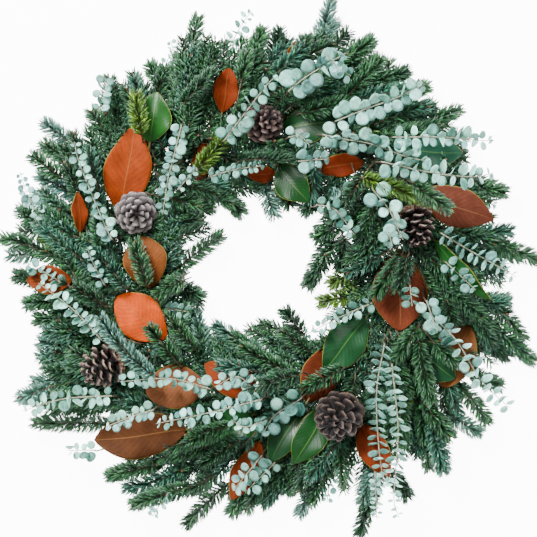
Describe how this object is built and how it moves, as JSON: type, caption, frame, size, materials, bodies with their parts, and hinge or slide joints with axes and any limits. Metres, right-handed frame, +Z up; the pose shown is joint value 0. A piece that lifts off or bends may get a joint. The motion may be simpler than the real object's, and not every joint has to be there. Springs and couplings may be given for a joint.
{
  "type": "fresh evergreen wreath",
  "caption": "Round evergreen wreath of fir sprays, magnolia leaves, eucalyptus stems and pine cones clamped to a wire ring.",
  "frame": {"origin": "centre of the wire ring, on the surface that the wreath lies on", "axes": "+Z up out of the wreath's face, +Y towards its top as it hangs, +X to its right as seen from the front"},
  "size_m": [0.6636, 0.6576, 0.1167],
  "materials": {
    "wire": "satin",
    "fir": "satin",
    "eucalyptus": "matte",
    "magnolia_copper": "matte",
    "magnolia_green": "gloss",
    "pine_cone": "matte"
  },
  "bodies": {
    "root": {"eucalyptus_01": "eucalyptus", "eucalyptus_02": "eucalyptus", "eucalyptus_03": "eucalyptus", "eucalyptus_04": "eucalyptus", "eucalyptus_05": "eucalyptus", "eucalyptus_06": "eucalyptus", "eucalyptus_07": "eucalyptus", "eucalyptus_08": "eucalyptus", "eucalyptus_09": "eucalyptus", "eucalyptus_10": "eucalyptus", "eucalyptus_11": "eucalyptus", "eucalyptus_12": "eucalyptus", "fir_01": "fir", "fir_02": "fir", "fir_03": "fir", "fir_04": "fir", "fir_05": "fir", "fir_06": "fir", "fir_07": "fir", "fir_08": "fir", "fir_09": "fir", "fir_10": "fir", "fir_11": "fir", "fir_12": "fir", "magnolia_copper_01": "magnolia_copper", "magnolia_copper_02": "magnolia_copper", "magnolia_copper_03": "magnolia_copper", "magnolia_copper_04": "magnolia_copper", "magnolia_copper_05": "magnolia_copper", "magnolia_copper_06": "magnolia_copper", "magnolia_copper_07": "magnolia_copper", "magnolia_copper_08": "magnolia_copper", "magnolia_copper_09": "magnolia_copper", "magnolia_copper_10": "magnolia_copper", "magnolia_copper_11": "magnolia_copper", "magnolia_copper_12": "magnolia_copper", "magnolia_copper_13": "magnolia_copper", "magnolia_copper_14": "magnolia_copper", "magnolia_copper_15": "magnolia_copper", "magnolia_copper_16": "magnolia_copper", "magnolia_copper_17": "magnolia_copper", "magnolia_copper_18": "magnolia_copper", "magnolia_green_01": "magnolia_green", "magnolia_green_02": "magnolia_green", "magnolia_green_03": "magnolia_green", "magnolia_green_04": "magnolia_green", "magnolia_green_05": "magnolia_green", "magnolia_green_06": "magnolia_green", "magnolia_green_07": "magnolia_green", "magnolia_green_08": "magnolia_green", "magnolia_green_09": "magnolia_green", "magnolia_green_10": "magnolia_green", "pine_cone_1": "pine_cone", "pine_cone_2": "pine_cone", "pine_cone_3": "pine_cone", "pine_cone_4": "pine_cone", "pine_cone_5": "pine_cone", "wire_ring": "wire"}
  },
  "joints": []
}
